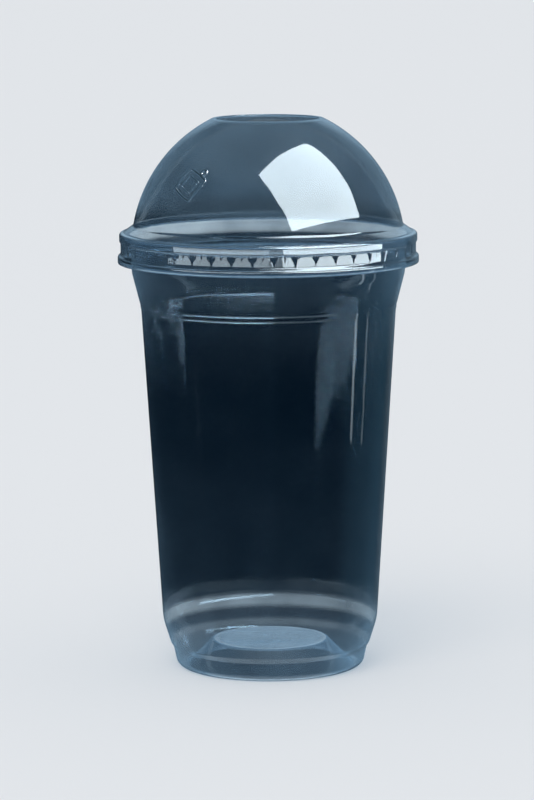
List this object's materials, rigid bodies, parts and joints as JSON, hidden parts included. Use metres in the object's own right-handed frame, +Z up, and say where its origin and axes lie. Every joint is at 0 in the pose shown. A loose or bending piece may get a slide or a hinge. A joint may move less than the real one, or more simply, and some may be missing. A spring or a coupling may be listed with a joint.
{
  "type": "plastic cup with lid",
  "caption": "Clear plastic cold-drink cup with a rolled rim, a raised base and a lift-off dome lid with a round top hole and a fluted skirt.",
  "frame": {"origin": "centre of the ring that the cup stands on, at the table", "axes": "+Z up along the cup's axis, towards the hole in the lid; -Y is the front, and the lid's oval mark is on the skirt to the left of it"},
  "size_m": [0.102, 0.102, 0.1875],
  "materials": {
    "cup_plastic": "clear, smooth and glossy",
    "lid_plastic": "clear, smooth and glossy"
  },
  "bodies": {
    "cup": {"cup": "cup_plastic"},
    "lid": {"dome_lid": "lid_plastic"}
  },
  "joints": [
    {"name": "lid_lift", "type": "slide", "parent": "cup", "child": "lid", "axis": [0, 0, 1], "range_m": [0, 0.04]}
  ]
}
